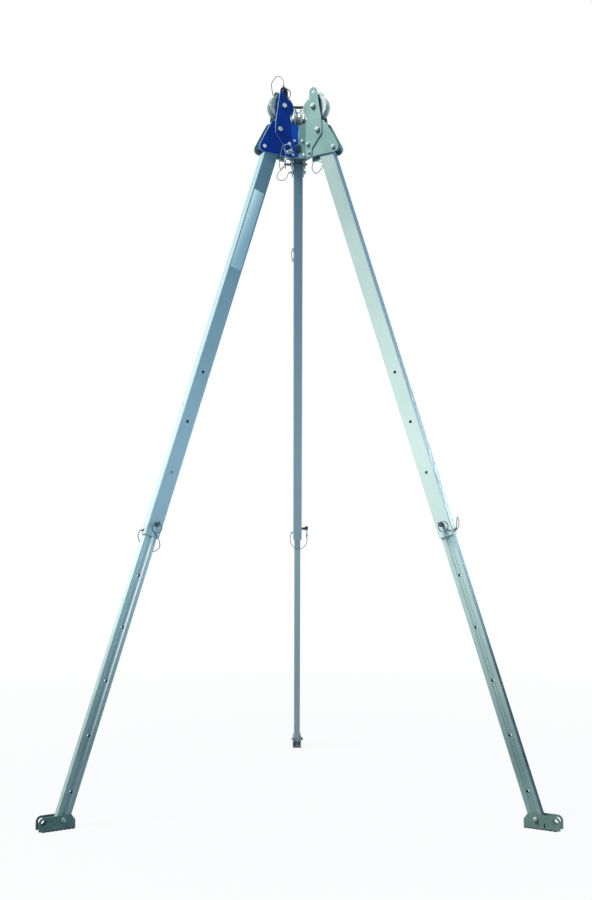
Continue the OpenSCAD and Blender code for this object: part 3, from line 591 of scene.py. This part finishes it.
def softened(node, body, slot, width, segments=2, angle=32):
    """A copy of a node with bevelled edges, in the node's stead."""
    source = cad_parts[node]
    mesh = source.data.copy()
    mesh.transform(source.matrix_world)
    mesh.materials.clear()
    obj = bpy.data.objects.new(node + "_dressed", mesh)
    bpy.context.collection.objects.link(obj)
    pick(obj)
    bpy.ops.object.mode_set(mode="EDIT")
    bpy.ops.mesh.select_all(action="SELECT")
    bpy.ops.mesh.remove_doubles(threshold=0.000002)
    bpy.ops.mesh.dissolve_limited(angle_limit=math.radians(0.5))
    bpy.ops.mesh.normals_make_consistent(inside=False)
    bpy.ops.object.mode_set(mode="OBJECT")
    for _ in range(2):
        bpy.ops.object.material_slot_add()
    even_normals(smooth(bevel(obj, width, segments, angle, material=1), angle))
    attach(obj, body)
    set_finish(obj, slot)
    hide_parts(node)
    return obj


SOFT = {}

# %% [markdown]
# The head's plates are coated. Their cut edges are painted paler, as a painted highlight along every edge.
# A bent plate has two broad faces, one along the leg and one on the panel, with a rounded bend between them.
# All faces that look another way are cut edges, and they get the edge's material with the painted highlight.

# %% Head plates
PANELS = {"left_front": 270, "left_back": 150, "right_front": 270, "right_back": 30, "rear_left": 150,
          "rear_right": 30}
BROAD, LEVEL = 8, 0.3


def highlight_edges(obj, first, second):
    """Gives all faces but those that look one of two ways, or between them, the second material: the
    painted edge highlight.
    """
    first, second = sorted((first % 180, second % 180))
    for face in obj.data.polygons:
        n = face.normal
        turn = math.degrees(math.atan2(n.y, n.x)) % 180
        if second - first < 90:
            broad = first - BROAD < turn < second + BROAD
        else:
            broad = turn < first + BROAD or turn > second - BROAD
        if abs(n.z) > LEVEL or not broad:
            face.material_index = 1


for node, panel in PANELS.items():
    tint = "blue_plate" if node == "left_front" else "silver_plate"
    sideways = LEGS[node.split("_")[0]] + 90
    for kind, other in (("_plate", panel), ("_cheek", sideways)):
        SOFT[node + kind] = softened(node + kind, "head", tint, 0.0006)
        highlight_edges(SOFT[node + kind], sideways, other)
print(len(SOFT), "plates softened")

# %% [markdown]
# The tie plates behind the panels, the tubes, the feet and the pulleys are softened in the same way. A
# drawn tube has the sharpest edges of them and a folded foot the roundest, so each has its own width of
# bevel.

# %% Tie plates, tubes, feet and pulleys
SOFT["anchor_plates"] = softened("anchor_plates", "head", "zinc", 0.0006)
for leg in LEGS:
    SOFT[leg + "_upper_tube"] = softened(leg + "_upper_tube", leg + "_leg", "upper_tube", 0.0002)
    SOFT[leg + "_lower_tube"] = softened(leg + "_lower_tube", leg + "_lower_leg", "lower_tube", 0.0003, 2, 24)
    SOFT[leg + "_foot"] = softened(leg + "_foot", leg + "_foot", "foot", 0.0007)
    SOFT[leg + "_pulley"] = softened(leg + "_pulley", leg + "_pulley", "pulley", 0.0006, 3)
print(len(SOFT), "solids softened,", sum(len(o.data.polygons) for o in SOFT.values()), "faces")

# %% [markdown]
# A thin plate sits on the broad face of the left leg, where such legs carry their label. Here it stays
# bare. It is a block of half a millimetre with rounded edges.

# %% Label plate
LABEL_TOP, LABEL_LOW, LABEL_W, LABEL_T = -245, -541, 39, 0.5
label = block((-LABEL_W / 2, TUBE_D / 2, LABEL_LOW), (LABEL_W / 2, TUBE_D / 2 + LABEL_T, LABEL_TOP))
bevel(label, 0.2)
label = smooth(move(joined("left_leg_label", [label]), leg_frame("left")))
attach(label, "left_leg")
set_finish(label, "silver_plate")
print("label plate", LABEL_W, "x", LABEL_TOP - LABEL_LOW, "mm")

# %% [markdown]
# Materials are made of nodes. Four small helpers keep their recipes readable: one adds any node, one does a
# sum, one maps a range of values to another, and one mixes two shades.

# %% Node helpers


def add_node(tree, kind, inputs, **settings):
    """A new node. Each input is linked to another node's output, or set to a value."""
    new = tree.nodes.new(kind)
    for key, value in settings.items():
        setattr(new, key, value)
    for key, value in inputs.items():
        if isinstance(value, bpy.types.NodeSocket):
            tree.links.new(value, new.inputs[key])
        else:
            new.inputs[key].default_value = value
    return new


def maths(tree, operation, *values):
    return add_node(tree, "ShaderNodeMath", dict(enumerate(values)), operation=operation).outputs[0]


def ranged(tree, value, low, high, to_low=0, to_high=1):
    inputs = {"Value": value, "From Min": low, "From Max": high, "To Min": to_low, "To Max": to_high}
    return add_node(tree, "ShaderNodeMapRange", inputs).outputs["Result"]


def two_shades(tree, share, first, second):
    inputs = {"Factor": share, "A": first, "B": second}
    return add_node(tree, "ShaderNodeMix", inputs, data_type="RGBA").outputs["Result"]


# %% [markdown]
# Two effects are shared by the finishes, so each is a node group. Handled metal has smudges, which are
# broad soft patches with fine flecks: noise at two scales. Drawn tube has fine lines along it, as the
# drawing die leaves them: noise that is squeezed across the tube and stretched along it.

# %% Shared effects
FLECK_FINER = 26
LINE_SCALE = (420, 420, 2.2)


def effect(name, sockets, results):
    tree = bpy.data.node_groups.new(name, "ShaderNodeTree")
    for socket, kind in sockets.items():
        tree.interface.new_socket(socket, in_out="INPUT", socket_type=kind)
    for socket in results:
        tree.interface.new_socket(socket, in_out="OUTPUT", socket_type="NodeSocketFloat")
    return tree, tree.nodes.new("NodeGroupInput").outputs, tree.nodes.new("NodeGroupOutput").inputs


SMUDGES, given, result = effect(
    "smudges", {"Place": "NodeSocketVector", "Size": "NodeSocketFloat"}, ["Patch", "Fleck"])
patch = add_node(SMUDGES, "ShaderNodeTexNoise",
                 {"Vector": given["Place"], "Scale": given["Size"], "Detail": 5, "Roughness": 0.6})
finer = maths(SMUDGES, "MULTIPLY", given["Size"], FLECK_FINER)
fleck = add_node(SMUDGES, "ShaderNodeTexNoise", {"Vector": given["Place"], "Scale": finer, "Detail": 2})
SMUDGES.links.new(ranged(SMUDGES, patch.outputs["Fac"], 0.34, 0.66), result["Patch"])
SMUDGES.links.new(ranged(SMUDGES, fleck.outputs["Fac"], 0.4, 0.75), result["Fleck"])

DRAWN, given, result = effect("drawn_lines", {"Place": "NodeSocketVector"}, ["Lines"])
squeezed = add_node(DRAWN, "ShaderNodeVectorMath", {0: given["Place"], 1: LINE_SCALE}, operation="MULTIPLY")
streaks = add_node(DRAWN, "ShaderNodeTexNoise", {"Vector": squeezed.outputs[0], "Scale": 1, "Detail": 3})
DRAWN.links.new(ranged(DRAWN, streaks.outputs["Fac"], 0.3, 0.7), result["Lines"])
print("effects:", [group.name for group in bpy.data.node_groups])

# %% [markdown]
# Every finish mixes a light and a dark shade by the smudges, and lets its gloss follow the same mix,
# because a smudge is also duller. A grain of fine bumps breaks up the reflections. Tubes add the drawn
# lines, turned into the direction of their leg, and a darkening between two heights, which is painted
# shade on the upper tubes and on the right lower tube's narrow sides. The groove of the lower tubes has
# thin lines of painted shade in its corners.

# %% How a finish is made
NO_DARKENING = (0, 0, 1)
SMOOTHER, ROUGHER = 0.07, 0.09
GRAIN_DEPTH = 0.0002
# Painted shade in the corners of the groove: its colour, width and strength.
CORNER_SHADE, CORNER_SHADE_WIDTH, CORNER_SHADE_SHARE = (30, 44, 48), 0.0013, 0.75


def linear(c):
    return c / 255 / 12.92 if c <= 10 else ((c / 255 + 0.055) / 1.055) ** 2.4


def shade(r, g, b):
    """An ordinary screen colour as the linear one that shaders use."""
    return linear(r), linear(g), linear(b), 1


def along_leg(tree, place, leg):
    """The place in the leg's own directions."""
    matrix = leg_frame(leg)
    inputs = {"Vector": place, "Location": matrix.translation, "Rotation": matrix.to_euler()}
    return add_node(tree, "ShaderNodeMapping", inputs, vector_type="TEXTURE").outputs["Vector"]


def painted_corner_shade(tree, colour, place, corner):
    """Painted shade: dark lines in the groove's corners, at a distance to both sides of the leg's middle
    line.
    """
    x = add_node(tree, "ShaderNodeSeparateXYZ", {0: place}).outputs["X"]
    gap = maths(tree, "ABSOLUTE", maths(tree, "SUBTRACT", maths(tree, "ABSOLUTE", x), corner))
    return two_shades(tree, ranged(tree, gap, 0, CORNER_SHADE_WIDTH, CORNER_SHADE_SHARE, 0), colour, shade(*CORNER_SHADE))


def bumps(tree, height, strength):
    inputs = {"Height": height, "Strength": strength, "Distance": GRAIN_DEPTH}
    return add_node(tree, "ShaderNodeBump", inputs).outputs["Normal"]


def finish(name, light, dark, rough, metal=0.0, size=7, grain=0.0, grain_size=900, leg=None, lines=0.0,
           flecks=0.35, shine=0.5, dark_by_height=NO_DARKENING, corner=0.0):
    """A material. The darkening by height has a weight against the smudges, and heights where it starts
    and is full.
    """
    material = bpy.data.materials.new(name)
    material.use_nodes = True
    tree = material.node_tree
    place = tree.nodes.new("ShaderNodeTexCoord").outputs["Object"]
    smudges = add_node(tree, "ShaderNodeGroup", {"Place": place, "Size": size}, node_tree=SMUDGES).outputs
    value = maths(tree, "MULTIPLY_ADD", smudges["Fleck"], flecks, smudges["Patch"])
    if leg:
        leg_place = along_leg(tree, place, leg)
        height = add_node(tree, "ShaderNodeGroup", {"Place": leg_place}, node_tree=DRAWN).outputs["Lines"]
        value = maths(tree, "MULTIPLY_ADD", height, lines, value)
    elif grain:
        noise = add_node(tree, "ShaderNodeTexNoise", {"Vector": place, "Scale": grain_size, "Detail": 2})
        height = noise.outputs["Fac"]
    # A darkening between two heights, which the tubes use for painted shade.
    weight, starts_z, full_z = dark_by_height
    if weight:
        z = add_node(tree, "ShaderNodeSeparateXYZ", {0: place}).outputs["Z"]
        value = maths(tree, "ADD", value, ranged(tree, z, starts_z, full_z, 0, weight))
    share = ranged(tree, value, 0, 1 + flecks + lines + weight)
    colour = two_shades(tree, share, shade(*light), shade(*dark))
    if corner:
        colour = painted_corner_shade(tree, colour, leg_place, corner)
    bsdf = tree.nodes["Principled BSDF"]
    tree.links.new(colour, bsdf.inputs["Base Color"])
    tree.links.new(ranged(tree, share, 0, 1, rough - SMOOTHER, rough + ROUGHER), bsdf.inputs["Roughness"])
    bsdf.inputs["Metallic"].default_value = metal
    bsdf.inputs["Specular IOR Level"].default_value = shine
    if grain:
        tree.links.new(bumps(tree, height, grain), bsdf.inputs["Normal"])
    return material


# %% [markdown]
# The left front plates are blue, the other plates a pale grey green, and both have paler edges, a painted
# highlight. Bolts and pulleys are bright metal. The pins that stand in the shade get a darker copy of the
# pin plating as painted shade. The wires and the feet are darker.

# %% Finishes of plates and hardware
FINISH = {
    "blue_plate": finish("blue_coat", (10, 66, 164), (4, 44, 126), 0.42, 0, 9, 0.25, shine=0.12),
    # The edge finishes are paler copies of the coats: a painted highlight along the cut edges.
    "blue_edge": finish("blue_coat_edge", (120, 160, 200), (50, 110, 190), 0.45, 0, 60, shine=0.3),
    "silver_plate": finish("silver_coat", (100, 140, 141), (76, 114, 119), 0.46, 0, 9, 0.2, shine=0.25),
    "silver_edge": finish("silver_coat_edge", (170, 196, 196), (130, 160, 162), 0.42, 0.1, 60, shine=0.4),
    "zinc": finish("zinc_plating", (128, 150, 152), (92, 114, 120), 0.42, 0.3, 24, 0.15),
    "bolt_steel": finish("bolt_plating", (196, 212, 212), (132, 150, 156), 0.27, 0.8, 40, 0.1),
    "dark_steel": finish("black_oxide", (38, 52, 62), (20, 28, 36), 0.42, 0.2, 40, 0.15),
    "pin_steel": finish("pin_plating", (176, 194, 200), (118, 138, 148), 0.3, 0.5, 50, 0.1),
    # Painted shade: a darker copy of the pin plating, for pins and spacers that stand in shade.
    "painted_shade_steel": finish("lock_pin_plating", (80, 100, 114), (36, 52, 64), 0.34, 0.2, 50, 0.1, shine=0.4),
    "wire": finish("wire_rope", (78, 94, 98), (40, 54, 58), 0.45, 0.3, 120, shine=0.3),
    "pulley": finish("turned_alloy", (150, 170, 174), (100, 122, 132), 0.33, 0.6, 18, 0.02, flecks=0.1),
    "bush": finish("bush_steel", (150, 164, 168), (104, 118, 126), 0.36, 0.5, 40),
    "black_plastic": finish("black_plastic", (34, 38, 40), (20, 22, 24), 0.55, 0, 30, 0.3),
    "foot": finish("foot_coat", (82, 110, 104), (60, 86, 84), 0.52, 0, 14, 0.3, shine=0.3),
    "foot_edge": finish("foot_coat_edge", (60, 82, 80), (36, 52, 52), 0.5, 0, 60, shine=0.3),
    "sole": finish("rubber", (32, 34, 34), (18, 20, 20), 0.75, 0, 40, 0.6, 500),
    "label": finish("label_film", (206, 230, 234), (190, 216, 224), 0.6, 0, 5, 0.05, shine=0.2),
}
print(len(FINISH), "finishes of plates and hardware")

# %% [markdown]
# The tubes are satin aluminium, with light and dark shades set leg by leg as painted light, bluer on
# the left leg. The upper ones get paler from the head down, a painted shade under the head, and their
# narrow sides are a shade darker than the broad ones, also painted shade. The lower ones get darker
# towards the foot. Two of them have painted light of their own: the left one has a groove wall painted
# bright as a highlight, and the right one has narrow sides with painted shade.

# %% Finishes of the tubes
# Painted shade: the upper tubes darken from 1.15 m up to the head. The lower tubes darken from 0.9 m down to
# 0.25 m.
PAINTED_HEAD_SHADE, DARKER_TO_FOOT = (6, 1.15, 2.1), (6, 0.9, 0.25)
HIGHLIGHT_FADE, PAINTED_SIDE_SHADE = (6, 0.6, 0.2), (6, 0.86, 0.45)
GROOVE_CORNER = 0.004
# Painted light: each leg has shades of its own, the left one bluer, though all three are the same tube.
SATIN_PAINTED_LIGHT = {"left": ((180, 204, 212), (105, 140, 154)), "right": ((173, 196, 196), (109, 136, 140)),
         "rear": ((173, 196, 198), (109, 136, 143))}
# Painted shade: the narrow sides of the upper tubes are a shade darker than the broad ones.
NARROW_PAINTED_SHADE = ((157, 177, 182), (105, 140, 155))
LOWER_SHADES_PAINTED_LIGHT = {"left": ((180, 211, 214), (106, 129, 128)), "right": ((168, 197, 199), (84, 111, 115)),
        "rear": ((156, 178, 180), (142, 161, 162))}
for leg in LEGS:
    satin = {"leg": leg, "lines": 0.3, "flecks": 0.2, "shine": 0.3, "dark_by_height": PAINTED_HEAD_SHADE}
    FINISH["upper_" + leg] = finish("tube_satin_" + leg, *SATIN_PAINTED_LIGHT[leg], 0.46, 0, 5, 0.05, **satin)
    FINISH["narrow_" + leg] = finish("tube_side_" + leg, *NARROW_PAINTED_SHADE, 0.46, 0, 5, 0.05, **satin)
    FINISH["lower_" + leg] = finish("tube_worn_" + leg, *LOWER_SHADES_PAINTED_LIGHT[leg], 0.46, 0.25, 8, 0.06, leg=leg, lines=0.4,
                                    flecks=0.2, shine=0.3, dark_by_height=DARKER_TO_FOOT, corner=GROOVE_CORNER)
# Painted highlight: the wall of the left lower tube's groove is near white, fading towards the foot.
FINISH["groove"] = finish("groove_polished", (244, 252, 255), (94, 122, 132), 0.3, 0.5, 30,
                          flecks=0.1, dark_by_height=HIGHLIGHT_FADE)
# Painted light and shade on the right lower tube's narrow sides: pale at the top, dark towards the foot.
FINISH["low_side"] = finish("tube_low_side", (196, 218, 214), (36, 56, 64), 0.5, 0, 8, 0.06, leg="right",
                            lines=0.3, flecks=0.2, shine=0.02, dark_by_height=PAINTED_SIDE_SHADE)
FINISH["tube_edge"] = finish("tube_edge", (120, 142, 146), (84, 106, 112), 0.5, 0, 60, shine=0.2)
print(len(FINISH), "finishes in all")

# %% [markdown]
# Now the softened pieces get their finishes: the first for the faces, the second for the bevels. On some
# tubes a third goes on faces that are found by the way they look, and by their place in the leg's frame.

# %% Finishes on the softened pieces


def coat(obj, *keys):
    """Puts finishes in the object's material slots, in this order."""
    for i, key in enumerate(keys):
        if i < len(obj.data.materials):
            obj.data.materials[i] = FINISH[key]
        else:
            obj.data.materials.append(FINISH[key])


def groove_wall(normal, middle):
    return 0.4 < normal.x < 0.7 and abs(normal.z) < 0.1 and -10 < middle.x < -3


def narrow_side(normal, middle):
    return abs(normal.x) > 0.7


def third_finish(obj, key, leg, chosen):
    """Another finish on the faces that are chosen by their normal and middle in the leg's frame."""
    obj.data.materials.append(FINISH[key])
    back = leg_frame(leg).inverted()
    turn = back.to_3x3().normalized()
    for face in obj.data.polygons:
        if chosen(turn @ face.normal, back @ face.center):
            face.material_index = 2


for leg in LEGS:
    coat(SOFT[leg + "_upper_tube"], "upper_" + leg, "tube_edge")
    # The painted shade on the narrow sides of the upper tubes.
    third_finish(SOFT[leg + "_upper_tube"], "narrow_" + leg, leg, narrow_side)
    coat(SOFT[leg + "_lower_tube"], "lower_" + leg, "tube_edge")
    coat(SOFT[leg + "_foot"], "foot", "foot_edge")
    coat(SOFT[leg + "_pulley"], "pulley", "pulley")
# The painted highlight on the left groove wall.
third_finish(SOFT["left_lower_tube"], "groove", "left", groove_wall)
# The painted light and shade on the right lower tube's narrow sides.
third_finish(SOFT["right_lower_tube"], "low_side", "right", narrow_side)
coat(SOFT["anchor_plates"], "zinc", "zinc")
for node in PANELS:
    tint = "blue" if node == "left_front" else "silver"
    for kind in ("_plate", "_cheek"):
        coat(SOFT[node + kind], tint + "_plate", tint + "_edge")
print("finishes on", len(SOFT), "softened pieces")

# %% [markdown]
# The solids that stay as they are get a finish by the last word of their name; their spacers get painted
# shade. The other new pieces get the one of their slot, apart from these: the pins on the legs and at the
# back of the head get a darker copy of the pin plating as painted shade, and the bolts in the feet are dull.

# %% Finishes on the other pieces
# Spacers and some pins get the darker pin plating as painted shade.
KIND = {"sleeve": "black_plastic", "sole": "sole", "saddle": "dark_steel", "bush": "bush",
        "spacers": "painted_shade_steel"}
LOOKS = {"_leg_pin_": "painted_shade_steel", "rear_head_pin": "painted_shade_steel", "foot_bolt": "zinc"}
coat(label, "label")
for name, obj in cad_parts.items():
    obj.data.materials.clear()
    coat(obj, KIND.get(name.split("_")[-1], "zinc"))
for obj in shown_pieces():
    if not obj.data.materials:
        special = [look for part, look in LOOKS.items() if part in obj.name]
        coat(obj, special[0] if special else obj["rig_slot"])

# %% [markdown]
# The photo is a cut-out on white. More light would make the floor white, but would bleach the tripod too.
# So the floor and the room are white only to rays that see them directly, in a mirror or through glass. To
# all other rays the floor is a dull grey and the room a soft blue. Close to the tripod the floor still
# takes a little of its shadow.

# %% Floor
FLOOR_COLOUR = (0.2, 0.26, 0.32, 1)
NEAR, FAR, NEAR_WHITE = 1, 4, 0.93


def seen_white(tree):
    """1 for the rays that see the room itself: those of the camera, of mirrors and of glass."""
    rays = tree.nodes.new("ShaderNodeLightPath").outputs
    value = rays["Is Camera Ray"]
    for name in ("Is Glossy Ray", "Is Transmission Ray"):
        value = maths(tree, "MAXIMUM", value, rays[name])
    return value


bpy.ops.object.select_all(action="DESELECT")
bpy.ops.mesh.primitive_plane_add(size=60, location=(0, 0, 0))
floor = bpy.context.active_object
floor.name = "floor"
paper = bpy.data.materials.new("white_paper")
paper.use_nodes = True
tree = paper.node_tree
bsdf = tree.nodes["Principled BSDF"]
bsdf.inputs["Base Color"].default_value, bsdf.inputs["Roughness"].default_value = FLOOR_COLOUR, 1
place = tree.nodes.new("ShaderNodeTexCoord").outputs["Object"]
distance = add_node(tree, "ShaderNodeVectorMath", {0: place}, operation="LENGTH").outputs["Value"]
white = maths(tree, "MULTIPLY", seen_white(tree), ranged(tree, distance, NEAR, FAR, NEAR_WHITE, 1))
glow = tree.nodes.new("ShaderNodeEmission")
mixed = add_node(tree, "ShaderNodeMixShader", {0: white, 1: bsdf.outputs[0], 2: glow.outputs[0]})
tree.links.new(mixed.outputs[0], tree.nodes["Material Output"].inputs["Surface"])
floor.data.materials.append(paper)
print("floor", [round(c) for c in floor.dimensions], "m")

# %% Room
ROOM_FILL, ROOM_STRENGTH = (0.26, 0.68, 1, 1), 0.41
world = bpy.context.scene.world or bpy.data.worlds.new("room")
bpy.context.scene.world = world
world.use_nodes = True
tree = world.node_tree
tree.nodes.clear()
white = add_node(tree, "ShaderNodeBackground", {"Color": (1, 1, 1, 1), "Strength": 1})
fill = add_node(tree, "ShaderNodeBackground", {"Color": ROOM_FILL, "Strength": ROOM_STRENGTH})
mixed = add_node(tree, "ShaderNodeMixShader", {0: seen_white(tree), 1: fill.outputs[0], 2: white.outputs[0]})
add_node(tree, "ShaderNodeOutputWorld", {"Surface": mixed.outputs[0]})
print("room fill", ROOM_FILL[:3], "x", ROOM_STRENGTH)

# %% [markdown]
# A large, slightly warm light stands high on the left, and its size keeps the shadows soft. On the right a
# weak bluish light fills the shaded sides, and a very weak narrow one picks out the outer side of the right
# leg.

# %% Lights


def soft_light(name, place, target, size, power, colour):
    turn = (Vector(target) - Vector(place)).to_track_quat("-Z", "Y").to_euler()
    bpy.ops.object.light_add(type="AREA", location=place, rotation=turn)
    lamp = bpy.context.active_object
    lamp.name = name
    lamp.data.shape, lamp.data.size, lamp.data.energy, lamp.data.color = "DISK", size, power, colour
    lamp.visible_camera = False
    return lamp


soft_light("key", (-7.2, -4.3, 12.4), (0, -0.3, 1.2), 5.6, 5400, (1, 0.88, 0.74))
soft_light("right_fill", (6.4, 0, 1.6), (0, -0.4, 1.2), 2, 240, (0.52, 0.8, 1))
right_edge = soft_light("right_edge", (2.4, 0.7, 1.5), (0.42, -0.45, 1.15), 0.5, 0.8, (0.9, 1, 0.96))
right_edge.data.spread = math.radians(24)
